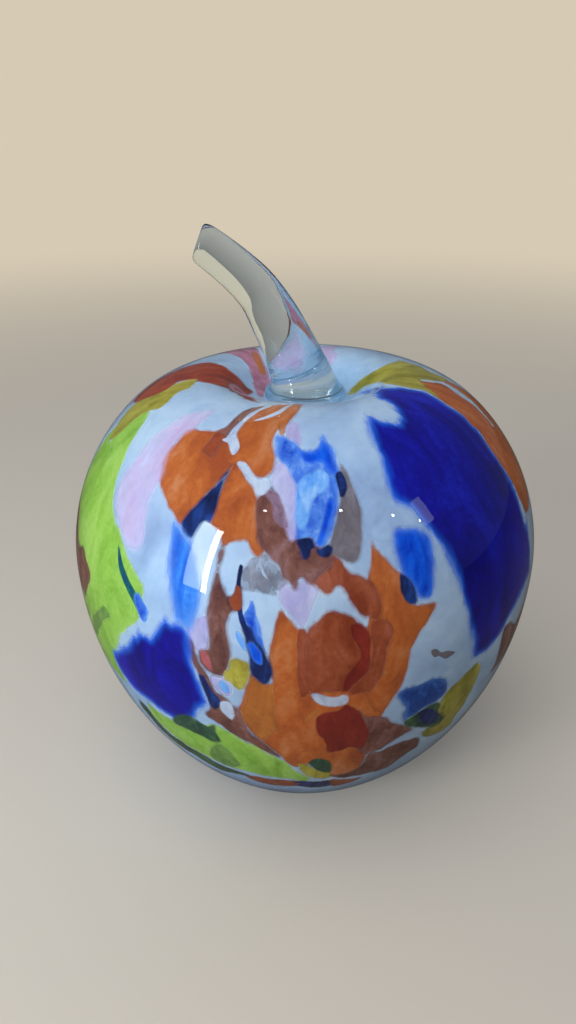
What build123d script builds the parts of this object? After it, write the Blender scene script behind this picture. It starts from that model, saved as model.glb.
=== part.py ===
"""Art glass apple: a blown white bubble with colour shards rolled into it, cased in clear glass.

The apple stands on its ground base at z = 0 with its axis on Z and its front facing -Y. The stem
leans towards -X. Azimuths are in degrees from the front, positive towards +X. A share up the wall
is 0 where the wall leaves the flat base and 1 where it reaches the flat seat under the stem.
"""
from build123d import *
import math
import os

os.makedirs("parts", exist_ok=True)

# Body
body_width = 180.0
body_height = 168.0
foot_ring_diameter = 67.0
heel_radius = 21.5
dimple_depth = 8.0
seat_diameter = 30.0

# Shares that place the widest ring, the highest ring and the roundness of the shoulder
equator_share = 0.60
crest_share = 0.39
shoulder_share = 0.836

# Glass layers, from the outside in
casing_wall = 4.0
shard_thickness = 1.2
bubble_wall = 4.0

# Opening that the blowpipe left, and the ground recess where the punty broke off
neck_diameter = 12.0
punty_mark_diameter = 26.0
punty_mark_depth = 1.2

# Seal that closes the opening
seal_thickness = 3.0
seal_edge_radius = 1.3
seal_clearance = 0.05

# Stem, as three bends that follow each other, each with its own radius and turn
stem_start_lean = 19.0
stem_bend_radii = (172.0, 40.0, 110.0)
stem_bend_turns = (11.0, 17.0, 11.0)
stem_foot_diameter = 26.0
stem_tip_diameter = 13.6
stem_tip_slant = 13.0

# The stem's thickness between foot and tip, as shares of its length and of its foot's diameter
stem_taper_shares = ((0.05, 0.92), (0.13, 0.82), (0.27, 0.74), (0.42, 0.69), (0.56, 0.62), (0.72, 0.575),
                     (0.86, 0.545))

# The tip's rounded end: how far back and how wide, as shares of the tip's diameter
stem_tip_shares = ((0.16, 1.0), (0.05, 0.95), (0.0, 0.80))

# Azimuth of the surfaces' seams in degrees, between two shards on the far side
seam_azimuth = 151.0

# How far a cutting body runs past what it cuts
overrun = 5.0

# The flat screens in front of the sides, and how near to the middle a cone starts
screen_distance = max(body_width, body_height) / 2 + overrun
screen_near_share = 0.25

# The middle of each side of the apple that shards lie on, as azimuth and elevation in degrees
side_middles = {
    "front": (-15, 20),
    "right": (68, 25),
    "left": (-108, 40),
    "far": (176, 20),
}

# Outlines of the shards on each side, as azimuth in degrees and share up the wall. They are listed
# in the order in which they are rolled in: each one presses its shape out of those before it.
shard_outline_shares = {
    "front": {
        "shard_orange_field_low": (
            (-6.3, 0.60), (-7.6, 0.575), (-8, 0.548), (-8.5, 0.52), (-10, 0.495), (-12.5, 0.487),
            (-13, 0.455), (-14.2, 0.43), (-13.3, 0.40), (-10.6, 0.366), (-8.5, 0.335), (-4, 0.303),
            (0, 0.31), (5, 0.29), (10, 0.262), (14, 0.27), (15.5, 0.32), (17.5, 0.40), (18, 0.43),
            (15, 0.50), (10, 0.52), (3, 0.55), (-1, 0.575), (-3.5, 0.59)),
        "shard_orange_right": (
            (13.8, 0.688), (16, 0.662), (18.3, 0.645), (20, 0.632), (19.8, 0.612), (22.5, 0.594),
            (25, 0.59), (23.5, 0.573), (21.5, 0.553), (20.8, 0.51), (20.5, 0.48), (18.5, 0.448), (16, 0.42),
            (12, 0.42), (9.5, 0.45), (9.5, 0.50), (10, 0.55), (12, 0.60), (12.5, 0.645)),
        "shard_rust_band": (
            (-5, 0.668), (0, 0.672), (2.4, 0.672), (6.8, 0.668), (8.7, 0.655), (11, 0.643), (14, 0.634),
            (16.4, 0.62), (17, 0.59), (14.9, 0.58), (12.3, 0.58), (9.5, 0.597), (7.3, 0.615), (6, 0.63),
            (3.5, 0.622), (1.5, 0.637), (-1.2, 0.641), (-3.4, 0.63), (-5, 0.642)),
        "shard_brown_centre": (
            (-12.8, 0.742), (-9.5, 0.752), (-7, 0.74), (-5.5, 0.722), (-4.8, 0.70), (-3.5, 0.688),
            (0, 0.692), (3, 0.685), (5, 0.675), (3, 0.66), (-2, 0.65), (-5, 0.643), (-7.5, 0.655),
            (-10.3, 0.67), (-11.8, 0.69), (-11.5, 0.72)),
        "shard_orange_mid_left": (
            (-21.8, 0.797), (-19.5, 0.785), (-17.5, 0.768), (-15, 0.755), (-12.9, 0.739), (-11.6, 0.715),
            (-11.2, 0.685), (-12.5, 0.665), (-14.2, 0.686), (-17, 0.684), (-19.8, 0.67), (-20.6, 0.69),
            (-23.4, 0.702), (-23.5, 0.722), (-23.2, 0.745), (-22.6, 0.775)),
        "shard_orange_upper_left": (
            (-47, 0.779), (-44, 0.819), (-36.6, 0.828), (-32, 0.83), (-28.7, 0.818), (-24, 0.80),
            (-22.4, 0.787), (-24, 0.765), (-26.8, 0.737), (-28.5, 0.715), (-30, 0.692), (-31.5, 0.687),
            (-35.2, 0.707), (-39, 0.72), (-43, 0.734), (-46, 0.755)),
        "shard_orange_top": (
            (-3, 0.92), (-10, 0.915), (-16, 0.904), (-23.7, 0.888), (-25.8, 0.872), (-26, 0.853),
            (-24, 0.83), (-22, 0.80), (-18, 0.79), (-15.5, 0.773), (-12, 0.772), (-10.5, 0.795),
            (-12, 0.825), (-11.5, 0.842), (-9.5, 0.86), (-6.7, 0.884), (-3.5, 0.905)),
        "shard_navy_wedge_left": (
            (-22.6, 0.787), (-22.7, 0.765), (-23.3, 0.735), (-24.2, 0.703), (-26.3, 0.692), (-28, 0.678),
            (-29.3, 0.674), (-31.3, 0.686), (-30, 0.695), (-28.7, 0.712), (-28, 0.726), (-26.5, 0.739),
            (-24.5, 0.755), (-23.8, 0.768)),
        "shard_brown_streak_top": (
            (-21, 0.906), (-29, 0.896), (-31, 0.88), (-31.8, 0.86), (-32, 0.842), (-34.5, 0.82),
            (-35, 0.802), (-29.8, 0.788), (-28.6, 0.815), (-28.4, 0.84), (-28.6, 0.862), (-28.2, 0.878),
            (-26.5, 0.889), (-21, 0.899)),
        "shard_blue_mottled_top": (
            (-11.2, 0.84), (-8, 0.838), (-5, 0.825), (0, 0.812), (3, 0.816), (3.3, 0.834), (5.5, 0.843),
            (7.3, 0.825), (8.2, 0.795), (8, 0.765), (6.8, 0.738), (5.2, 0.712), (3.2, 0.682), (1.5, 0.685),
            (-1, 0.692), (-4, 0.687), (-5.3, 0.71), (-7, 0.738), (-9.5, 0.76), (-10, 0.79), (-10.8, 0.815)),
        "shard_lilac_strip": (
            (-10, 0.795), (-7.8, 0.797), (-5.8, 0.775), (-4.3, 0.755), (-3.7, 0.73), (-4.2, 0.705),
            (-4.3, 0.69), (-5.3, 0.706), (-7, 0.736), (-9.7, 0.758), (-10.5, 0.778)),
        "shard_taupe_right": (
            (9, 0.792), (10.8, 0.783), (12.1, 0.758), (13, 0.738), (12.8, 0.705), (11.4, 0.68), (9.8, 0.66),
            (7.3, 0.665), (5.5, 0.685), (5.2, 0.70), (6.3, 0.722), (7.8, 0.742), (8.4, 0.77)),
        "shard_grey_smoke": (
            (-15, 0.65), (-13.5, 0.664), (-11.6, 0.672), (-9.2, 0.664), (-6.3, 0.654), (-5.4, 0.64),
            (-6.8, 0.622), (-10, 0.622), (-15, 0.626), (-15.2, 0.638)),
        "shard_purple_brown_left": (
            (-20.2, 0.675), (-19, 0.648), (-18, 0.622), (-16.5, 0.61), (-15.2, 0.63), (-14.4, 0.60),
            (-14.7, 0.58), (-16, 0.58), (-16.6, 0.555), (-16.3, 0.53), (-17.2, 0.505), (-18.6, 0.493),
            (-20.3, 0.503), (-21.3, 0.53), (-21.4, 0.57), (-21, 0.61), (-20.6, 0.65)),
        "shard_yellow_chip": (
            (-16, 0.522), (-13.2, 0.524), (-12.1, 0.515), (-12.6, 0.497), (-13.3, 0.485), (-15, 0.48),
            (-16.6, 0.486), (-18, 0.498), (-17.2, 0.51)),
        "shard_blue_flame": (
            (-12.2, 0.61), (-10.8, 0.59), (-9.8, 0.565), (-9.4, 0.548), (-11.3, 0.56), (-13, 0.575),
            (-13, 0.59)),
        "shard_navy_teardrop": (
            (-15, 0.605), (-14.2, 0.575), (-12.6, 0.55), (-12, 0.525), (-11.2, 0.50), (-9.4, 0.49),
            (-7.6, 0.496), (-7.6, 0.518), (-9, 0.542), (-11, 0.565), (-13.2, 0.575), (-14, 0.595)),
        "shard_rust_square": (
            (0, 0.572), (2, 0.585), (5.6, 0.598), (9, 0.585), (10.5, 0.572), (9, 0.555), (8.3, 0.535),
            (7.2, 0.51), (6.7, 0.477), (3, 0.473), (-0.3, 0.478), (0, 0.52)),
        "shard_deep_red_mid": (
            (10.5, 0.57), (13, 0.57), (12.5, 0.545), (11.5, 0.52), (10.5, 0.50), (8.5, 0.48), (7, 0.478),
            (7.3, 0.505), (8.5, 0.53), (9.2, 0.555)),
        "shard_deep_red_low": (
            (1.9, 0.425), (4.6, 0.433), (8.9, 0.442), (10, 0.42), (13.7, 0.412), (17.5, 0.397), (21, 0.378),
            (26, 0.355), (22, 0.343), (18, 0.338), (13, 0.335), (8.4, 0.343), (5.2, 0.345), (3.6, 0.375)),
        "shard_red_brown_low_right": (
            (14.5, 0.305), (18, 0.325), (23, 0.33), (28.5, 0.335), (30, 0.30), (25, 0.28), (19, 0.26),
            (14, 0.265)),
        "shard_yellow_low": (
            (-2, 0.302), (1, 0.288), (4.2, 0.272), (3.2, 0.258), (0, 0.258), (-3.3, 0.285)),
        "shard_lime_left": (
            (-72, 0.795), (-64, 0.735), (-59, 0.69), (-52, 0.645), (-44, 0.617), (-38.5, 0.593),
            (-38, 0.572), (-40, 0.54), (-43.5, 0.508), (-47, 0.48), (-51, 0.45), (-58, 0.405), (-66, 0.42),
            (-75, 0.52), (-83, 0.64), (-82, 0.72), (-77, 0.775)),
        "shard_teal_sliver_left": (
            (-48, 0.625), (-45.2, 0.598), (-42.3, 0.582), (-39.5, 0.574), (-37.3, 0.566), (-36.4, 0.552),
            (-37, 0.537), (-39, 0.54), (-41.5, 0.557), (-44, 0.573), (-46.5, 0.597)),
        "shard_brown_far_left": (
            (-64, 0.575), (-68, 0.598), (-76, 0.60), (-82, 0.56), (-80, 0.52), (-72, 0.512), (-66, 0.53),
            (-64, 0.55)),
        "shard_pink_veil_left": (
            (-43, 0.857), (-51, 0.832), (-54, 0.80), (-54.5, 0.765), (-54.8, 0.72), (-54.5, 0.69),
            (-50, 0.662), (-45.5, 0.635), (-42.5, 0.645), (-42, 0.68), (-44.5, 0.714), (-45.5, 0.735),
            (-48, 0.76), (-47.5, 0.79), (-44, 0.825)),
        "shard_blue_band_left": (
            (-32, 0.672), (-32.6, 0.65), (-32, 0.62), (-31, 0.59), (-29.8, 0.56), (-28.5, 0.545),
            (-26.5, 0.545), (-25, 0.57), (-23.6, 0.60), (-24.2, 0.63), (-26, 0.655), (-28.2, 0.668),
            (-30, 0.67)),
        "shard_cobalt_low_left": (
            (-31.5, 0.55), (-33.5, 0.535), (-39.5, 0.515), (-45, 0.49), (-50, 0.452), (-50, 0.425),
            (-47, 0.397), (-41, 0.37), (-35, 0.358), (-28, 0.372), (-24.5, 0.405), (-23, 0.438),
            (-24.4, 0.48), (-26, 0.518), (-26.3, 0.543), (-28.5, 0.552)),
        "shard_lime_low_left": (
            (-47, 0.342), (-43, 0.35), (-38, 0.349), (-32, 0.352), (-27, 0.36), (-22, 0.378), (-18, 0.372),
            (-14, 0.354), (-10, 0.332), (-5, 0.298), (0, 0.255), (-6, 0.238), (-12, 0.243), (-18, 0.248),
            (-25, 0.26), (-33, 0.28), (-40, 0.30)),
        "shard_dark_green_low_left": (
            (-40, 0.36), (-34.5, 0.368), (-28.4, 0.383), (-23.4, 0.385), (-21, 0.375), (-21.6, 0.352),
            (-24, 0.342), (-28, 0.343), (-33, 0.34), (-38, 0.338)),
        "shard_dark_strand_low_left": (
            (-25, 0.513), (-22.8, 0.483), (-20.5, 0.46), (-17, 0.447), (-15, 0.432), (-14.3, 0.41),
            (-10.3, 0.367), (-7, 0.33), (-4, 0.305), (-10.5, 0.333), (-16, 0.36), (-20.7, 0.384),
            (-23.2, 0.397), (-21.8, 0.412), (-22.8, 0.437), (-24.3, 0.465), (-25.8, 0.495)),
        "shard_blue_chip_right": (
            (18.8, 0.675), (20.6, 0.692), (23.6, 0.69), (26.5, 0.68), (28.3, 0.66), (28.5, 0.63),
            (27.5, 0.607), (25, 0.593), (22, 0.598), (20.6, 0.62), (19.2, 0.652)),
        "shard_blue_low_right": (
            (19.8, 0.455), (22.6, 0.453), (25.6, 0.454), (28.8, 0.457), (30.8, 0.446), (31, 0.43),
            (29.6, 0.417), (26.5, 0.408), (22.5, 0.402), (22.3, 0.415), (23.6, 0.43), (21, 0.445)),
        "shard_dark_green_low_right": (
            (22.6, 0.396), (25, 0.405), (28.6, 0.412), (31.2, 0.405), (32.2, 0.388), (31.5, 0.366),
            (28.5, 0.368), (25.5, 0.38)),
    },
    "right": {
        "shard_cobalt_right": (
            (24, 0.89), (23, 0.865), (22, 0.835), (21.5, 0.80), (21.7, 0.76), (22, 0.74), (25.8, 0.717),
            (29.5, 0.693), (32, 0.665), (34.2, 0.632), (35.3, 0.595), (36.7, 0.55), (37.8, 0.517),
            (39, 0.488), (40.5, 0.459), (44.5, 0.455), (48.5, 0.47), (53, 0.487), (58, 0.507), (62, 0.56),
            (66, 0.62), (68.5, 0.68), (70.5, 0.73), (74, 0.77), (79, 0.81), (84, 0.855), (87, 0.888),
            (88, 0.925), (82, 0.95), (62, 0.93), (50, 0.912), (45, 0.89), (41, 0.866), (36, 0.856),
            (31, 0.864), (28, 0.878)),
        "shard_brown_far_right": (
            (53, 0.468), (58, 0.475), (65, 0.46), (66, 0.42), (60, 0.395), (55, 0.40), (52.5, 0.43)),
        "shard_olive_right": (
            (40.5, 0.45), (43.5, 0.437), (44, 0.41), (42.5, 0.39), (39.5, 0.367), (36, 0.35), (33.5, 0.37),
            (32.2, 0.398), (33, 0.412), (34.5, 0.425), (37, 0.44)),
        "shard_orange_streak_right": (
            (92, 0.872), (97, 0.86), (97, 0.80), (93, 0.74), (86, 0.68), (80, 0.63), (72, 0.62), (70, 0.66),
            (72, 0.72), (75.5, 0.765), (80, 0.805), (85, 0.85)),
        "shard_olive_streak_right": (
            (108, 0.965), (118, 0.94), (125, 0.905), (122, 0.875), (112, 0.85), (103, 0.84), (97.5, 0.862),
            (92, 0.878), (93, 0.90), (98, 0.925)),
        "shard_lilac_back": (
            (95, 0.50), (105, 0.53), (111, 0.44), (104, 0.34), (92, 0.33), (86, 0.42)),
    },
    "left": {
        "shard_red_brown_ridge": (
            (-85, 0.80), (-80, 0.83), (-81, 0.86), (-81, 0.90), (-84, 0.935), (-96, 0.962), (-112, 0.955),
            (-118, 0.93), (-116, 0.90), (-112, 0.87), (-104, 0.83), (-96, 0.795), (-90, 0.785)),
        "shard_olive_band_left": (
            (-80, 0.875), (-77, 0.855), (-73, 0.83), (-71, 0.808), (-76, 0.80), (-82, 0.76), (-86, 0.75),
            (-87, 0.775), (-83, 0.805), (-79.5, 0.835)),
        "shard_pink_streak_back": (
            (-137, 0.875), (-146, 0.88), (-147, 0.915), (-143, 0.945), (-130, 0.965), (-118, 0.955),
            (-127, 0.932), (-133, 0.90)),
        "shard_blue_back_left": (
            (248, 0.62), (260, 0.65), (268, 0.58), (266, 0.47), (254, 0.42), (245, 0.50)),
    },
    "far": {
        "shard_pink_back": (
            (155, 0.88), (165, 0.868), (185, 0.875), (200, 0.885), (198, 0.92), (186, 0.95), (170, 0.945),
            (158, 0.915)),
        "shard_red_back": (
            (165, 0.80), (185, 0.84), (205, 0.84), (201, 0.76), (190, 0.70), (174, 0.70), (163, 0.75)),
        "shard_cobalt_back": (
            (155, 0.60), (170, 0.66), (190, 0.64), (200, 0.56), (195, 0.47), (178, 0.42), (162, 0.44),
            (155, 0.52)),
        "shard_orange_back": (
            (205, 0.74), (222, 0.79), (236, 0.74), (240, 0.65), (232, 0.56), (218, 0.53), (207, 0.60),
            (203, 0.68)),
        "shard_lime_back": (
            (118, 0.70), (132, 0.76), (146, 0.72), (148, 0.62), (140, 0.50), (126, 0.44), (114, 0.50),
            (112, 0.60)),
        "shard_yellow_back": (
            (208, 0.46), (225, 0.50), (238, 0.46), (236, 0.37), (220, 0.32), (206, 0.37)),
    },
}


def wall_arcs(inset):
    """The tangent arcs up the wall of the body drawn in by inset: centre, radius and two angles."""
    half_width = body_width / 2
    foot_radius = foot_ring_diameter / 2
    seat_radius = seat_diameter / 2
    equator = body_height * equator_share
    crest_radius = half_width * crest_share
    shoulder = (half_width - crest_radius) * shoulder_share

    heel_run = half_width - foot_radius
    heel_rise = equator - heel_radius
    flank = (heel_run**2 + heel_rise**2 - heel_radius**2) / (2 * (heel_run - heel_radius))
    crest_run = half_width - crest_radius
    crest_rise = body_height - shoulder - equator
    belly = (crest_run**2 + crest_rise**2 - shoulder**2) / (2 * (crest_run - shoulder))
    dimple_run = crest_radius - seat_radius
    rim = (dimple_depth**2 + dimple_run**2) / (4 * dimple_depth)

    heel_centre = (foot_radius, heel_radius)
    flank_centre = (half_width - flank, equator)
    belly_centre = (half_width - belly, equator)
    shoulder_centre = (crest_radius, body_height - shoulder)
    rim_centre = (crest_radius, body_height - rim)
    dimple_centre = (seat_radius, body_height - dimple_depth + rim)
    heel_end = heading(flank_centre, heel_centre)
    belly_end = heading(belly_centre, shoulder_centre)
    rim_end = heading(rim_centre, dimple_centre)
    return (
        (heel_centre, heel_radius - inset, -90, heel_end),
        (flank_centre, flank - inset, heel_end, 0),
        (belly_centre, belly - inset, 0, belly_end),
        (shoulder_centre, shoulder - inset, belly_end, 90),
        (rim_centre, rim - inset, 90, rim_end),
        (dimple_centre, rim + inset, rim_end - 180, -90),
    )


def heading(start, end):
    """The direction from one point of the section to another, in degrees."""
    return math.degrees(math.atan2(end[1] - start[1], end[0] - start[0]))


def wall_point(share, inset):
    """Radius and height of the point at a share of the way up the wall, drawn in by inset."""
    arcs = wall_arcs(inset)
    lengths = [radius * abs(math.radians(end - start)) for _, radius, start, end in arcs]
    left = share * sum(lengths)
    for (centre, radius, start, end), length in zip(arcs, lengths):
        if left <= length:
            break
        left -= length
    angle = math.radians(start + (end - start) * min(left / length, 1))
    return centre[0] + radius * math.cos(angle), centre[1] + radius * math.sin(angle)


def body_solid(inset):
    """The apple's solid form without its stem, drawn in by inset on every side."""
    seat_height = body_height - dimple_depth - inset
    with BuildPart() as body:
        with BuildSketch(Plane.XZ):
            with BuildLine():
                Line((0, inset), (foot_ring_diameter / 2, inset))
                for centre, radius, start, end in wall_arcs(inset):
                    CenterArc(centre, radius, start, end - start)
                Line((seat_diameter / 2, seat_height), (0, seat_height))
                Line((0, seat_height), (0, inset))
            make_face()
        revolve(axis=Axis.Z)
    return body.part.rotate(Axis.Z, seam_azimuth - 90)


def layer_point(azimuth, share):
    """A point on the outside of the white bubble, under the clear casing."""
    radius, height = wall_point(share, casing_wall)
    turn = math.radians(azimuth)
    return Vector(radius * math.sin(turn), -radius * math.cos(turn), height)


def side_plane(azimuth, elevation):
    """A plane through the middle of the body that faces one side of the apple."""
    turn = math.radians(azimuth)
    rise = math.radians(elevation)
    facing = (math.sin(turn) * math.cos(rise), -math.cos(turn) * math.cos(rise), math.sin(rise))
    return Plane(origin=(0, 0, body_height / 2), x_dir=(math.cos(turn), math.sin(turn), 0), z_dir=facing)


def flat_shard(side, outline):
    """The face that an outline covers on the flat screen in front of a side, seen from the middle."""
    seen = [side.to_local_coords(layer_point(azimuth, share)) for azimuth, share in outline]
    with BuildSketch() as flat:
        with BuildLine():
            Polyline(*[(p.X / p.Z * screen_distance, p.Y / p.Z * screen_distance) for p in seen], close=True)
        make_face()
    return flat.face()


def cone_through(side, face):
    """A cone from near the middle of the body out through a face on the screen."""
    holes = [cone_through(side, Face(wire)) for wire in face.inner_wires()]
    with BuildPart() as cone:
        for share in (screen_near_share, 1):
            with BuildSketch(side.offset(screen_distance * share)):
                add(Face(face.outer_wire()).scale(share))
        loft(ruled=True)
        if holes:
            add(holes, mode=Mode.SUBTRACT)
    return cone.part


# The solid forms that bound the layers
outside = body_solid(0)
bubble_form = body_solid(casing_wall)
colour_floor = body_solid(casing_wall + shard_thickness)
cavity = body_solid(casing_wall + bubble_wall)
seat_height = body_height - dimple_depth

# Clear casing, with the blowpipe's opening at the top and the ground recess in its foot
punty_sphere = (punty_mark_diameter**2 / 4 + punty_mark_depth**2) / (2 * punty_mark_depth)
with BuildPart() as clear_casing:
    add(outside)
    add(bubble_form, mode=Mode.SUBTRACT)
    with Locations((0, 0, seat_height)):
        Cylinder(neck_diameter / 2, 2 * (casing_wall + overrun), mode=Mode.SUBTRACT)
    with Locations((0, 0, punty_mark_depth - punty_sphere)):
        Sphere(punty_sphere, mode=Mode.SUBTRACT)
clear_casing.part.label = "clear_casing"
export_step(clear_casing.part, "parts/clear_casing.step")

# Colour shards: each keeps the part of its outline that the later ones leave free
with BuildPart() as colour_layer:
    add(bubble_form)
    add(colour_floor, mode=Mode.SUBTRACT)
pockets = []
for side_name, outlines in shard_outline_shares.items():
    side = side_plane(*side_middles[side_name])
    flats = {name: flat_shard(side, outline) for name, outline in outlines.items()}
    names = list(flats)
    for index, name in enumerate(names):
        later = [flats[other] for other in names[index + 1:]]
        with BuildSketch() as free:
            add(flats[name])
            if later:
                add(later, mode=Mode.SUBTRACT)
        flats[name] = free.faces().sort_by(SortBy.AREA)[-1]
        with BuildPart() as shard:
            add(colour_layer.part)
            add(cone_through(side, flats[name]), mode=Mode.INTERSECT)
        shard.part.label = name
        export_step(shard.part, f"parts/{name}.step")
    with BuildSketch() as covered:
        add(list(flats.values()))
    pockets += [cone_through(side, face) for face in covered.faces()]

# White bubble, with pockets as deep as the shards wherever they lie
with BuildPart() as white_bubble:
    add(bubble_form)
    for pocket in pockets:
        with BuildPart(mode=Mode.PRIVATE) as hollow:
            add(pocket)
            add(colour_floor, mode=Mode.SUBTRACT)
        add(hollow.part, mode=Mode.SUBTRACT)
    add(cavity, mode=Mode.SUBTRACT)
    with Locations((0, 0, seat_height)):
        Cylinder(neck_diameter / 2, 2 * (casing_wall + bubble_wall + overrun), mode=Mode.SUBTRACT)
white_bubble.part.label = "white_bubble"
export_step(white_bubble.part, "parts/white_bubble.step")

# Seal: a button of clear glass on the seat, with a plug down the blowpipe's opening
with BuildPart() as neck_seal:
    with BuildSketch(Plane.XY.offset(seat_height)):
        Circle(seat_diameter / 2)
    extrude(amount=seal_thickness)
    fillet(neck_seal.edges().group_by(Axis.Z)[-1], radius=seal_edge_radius)
    with BuildSketch(Plane.XY.offset(seat_height)):
        Circle(neck_diameter / 2 - seal_clearance)
    extrude(amount=-(casing_wall + bubble_wall))
neck_seal.part.label = "neck_seal"
export_step(neck_seal.part, "parts/neck_seal.step")

# Stem: round sections along three bends that lean towards -X, from the seal to the slanted tip
stem_base = seat_height + seal_thickness
with BuildLine(Plane.XZ) as stem_line:
    lean = math.radians(stem_start_lean)
    bend = JernArc((0, stem_base), (-math.sin(lean), math.cos(lean)), stem_bend_radii[0], stem_bend_turns[0])
    for radius, turn in zip(stem_bend_radii[1:], stem_bend_turns[1:]):
        bend = JernArc(bend @ 1, bend % 1, radius, turn)
stem_path = stem_line.wire()


def stem_plane(share):
    """The plane square to the stem at a share of its length, facing the tip."""
    return Plane(origin=stem_path @ share, x_dir=(0, 1, 0), z_dir=stem_path % share)


with BuildPart() as stem:
    with BuildSketch(Plane.XY.offset(stem_base)):
        Circle(stem_foot_diameter / 2)
    for share, width in stem_taper_shares:
        with BuildSketch(stem_plane(share)):
            Circle(stem_foot_diameter * width / 2)
    slanted_tip = stem_plane(1).rotated((-stem_tip_slant, 0, 0))
    for share, width in stem_tip_shares:
        with BuildSketch(slanted_tip.offset(-stem_tip_diameter * share)):
            Circle(stem_tip_diameter * width / 2)
    loft()
stem.part.label = "stem"
export_step(stem.part, "parts/stem.step")
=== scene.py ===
# %% [markdown]
# # A blown glass apple
# The apple is made of glass in glass. An opal white bubble is rolled over shards of coloured glass, cased in
# clear glass and shaped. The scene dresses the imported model: it keeps the model's measures, makes each layer
# finer than the CAD has it, and gives each its own kind of glass.

# %% Load the frame
import math
import random
import bpy
import numpy as np
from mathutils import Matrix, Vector
from mathutils.bvhtree import BVHTree
from mathutils.geometry import delaunay_2d_cdt


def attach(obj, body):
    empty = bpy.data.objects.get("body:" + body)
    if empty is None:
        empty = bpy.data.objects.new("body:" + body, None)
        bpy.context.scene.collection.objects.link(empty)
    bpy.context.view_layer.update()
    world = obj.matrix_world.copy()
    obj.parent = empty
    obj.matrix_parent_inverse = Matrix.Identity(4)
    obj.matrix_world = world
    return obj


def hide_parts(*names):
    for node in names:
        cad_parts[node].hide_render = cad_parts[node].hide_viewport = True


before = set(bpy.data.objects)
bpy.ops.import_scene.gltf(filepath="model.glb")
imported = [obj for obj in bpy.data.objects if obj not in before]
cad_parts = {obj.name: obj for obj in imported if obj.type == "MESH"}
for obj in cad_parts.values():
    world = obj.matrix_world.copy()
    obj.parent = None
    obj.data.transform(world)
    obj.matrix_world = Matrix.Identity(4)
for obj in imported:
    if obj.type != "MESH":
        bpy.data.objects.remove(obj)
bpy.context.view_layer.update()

# %% [markdown]
# ## The wall's curve
# An apple's outline is a chain of arcs that meet without a kink: heel, flank, belly, shoulder, rim and
# dimple. A glassblower gets it with a wet wooden block. Here the arcs are worked out from a few sizes, so
# that every layer can follow the same curve at its own depth.

# %% Sizes in metres
body_width = 0.180
body_height = 0.168
foot_radius = 0.0335
heel_radius = 0.0215
dimple_depth = 0.008
seat_radius = 0.015
equator_share = 0.60
crest_share = 0.39
shoulder_share = 0.836
mm = 0.001

# %% The arcs and the points on them
def heading(start, end):
    """The angle of the line from one point of the section to another."""
    return math.atan2(end[1] - start[1], end[0] - start[0])


def wall_arcs(inset):
    """Centre, radius and two angles of each arc up the wall, drawn in by inset."""
    half = body_width / 2
    equator = body_height * equator_share
    crest = half * crest_share
    shoulder = (half - crest) * shoulder_share
    run, rise = half - foot_radius, equator - heel_radius
    flank = (run**2 + rise**2 - heel_radius**2) / (2 * (run - heel_radius))
    run, rise = half - crest, body_height - shoulder - equator
    belly = (run**2 + rise**2 - shoulder**2) / (2 * (run - shoulder))
    rim = (dimple_depth**2 + (crest - seat_radius) ** 2) / (4 * dimple_depth)
    heel_at = (foot_radius, heel_radius)
    flank_at = (half - flank, equator)
    belly_at = (half - belly, equator)
    shoulder_at = (crest, body_height - shoulder)
    rim_at = (crest, body_height - rim)
    dimple_at = (seat_radius, body_height - dimple_depth + rim)
    turn_1 = heading(flank_at, heel_at)
    turn_2 = heading(belly_at, shoulder_at)
    turn_3 = heading(rim_at, dimple_at)
    return [
        (heel_at, heel_radius - inset, -math.pi / 2, turn_1),
        (flank_at, flank - inset, turn_1, 0.0),
        (belly_at, belly - inset, 0.0, turn_2),
        (shoulder_at, shoulder - inset, turn_2, math.pi / 2),
        (rim_at, rim - inset, math.pi / 2, turn_3),
        (dimple_at, rim + inset, turn_3 - math.pi, -math.pi / 2),
    ]


def wall_points(shares, inset):
    """Radius and height at shares of the way up the wall, from the foot to the seat, as two arrays."""
    arcs = wall_arcs(inset)
    ends = np.cumsum([radius * abs(end - start) for _, radius, start, end in arcs])
    run = np.clip(np.asarray(shares, float), 0, 1) * ends[-1]
    which = np.minimum(np.searchsorted(ends, run), len(arcs) - 1)
    centre = np.array([arc[0] for arc in arcs])[which]
    radius = np.array([arc[1] for arc in arcs])[which]
    start = np.array([arc[2] for arc in arcs])[which]
    end = np.array([arc[3] for arc in arcs])[which]
    before = np.concatenate(([0], ends[:-1]))[which]
    angle = start + (end - start) * np.clip((run - before) / (ends[which] - before), 0, 1)
    return centre[:, 0] + radius * np.cos(angle), centre[:, 1] + radius * np.sin(angle)


flat_inset = 4 * mm
wall_length = sum(radius * abs(end - start) for _, radius, start, end in wall_arcs(flat_inset))
print("length of the wall under the casing", round(wall_length, 4))

# %% [markdown]
# ## Helpers for modelling
# An operator acts on all that is selected, and loading the frame leaves its nodes selected. So everything is
# deselected first. A finished piece keeps its object at the origin.

# %% Helpers
def clean_slate():
    """Leave edit mode and deselect everything."""
    if bpy.context.object and bpy.context.object.mode != "OBJECT":
        bpy.ops.object.mode_set(mode="OBJECT")
    bpy.ops.object.select_all(action="DESELECT")


def take(piece):
    """Select one piece alone and make it the active one."""
    clean_slate()
    piece.select_set(True)
    bpy.context.view_layer.objects.active = piece


def on_all(piece, work):
    """Run an edit mode operator on all of a piece."""
    take(piece)
    bpy.ops.object.mode_set(mode="EDIT")
    bpy.ops.mesh.select_all(action="SELECT")
    work()
    bpy.ops.object.mode_set(mode="OBJECT")


def finish_piece(piece, name, material, slot, *nodes):
    """Name a piece, give it its glass and let it ride on the body."""
    piece.name = name
    piece.data.name = name
    piece.data.materials.clear()
    piece.data.materials.append(material)
    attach(piece, "root")
    if nodes:
        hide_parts(*nodes)
    print(name, len(piece.data.vertices), "vertices")
    return piece


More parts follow.
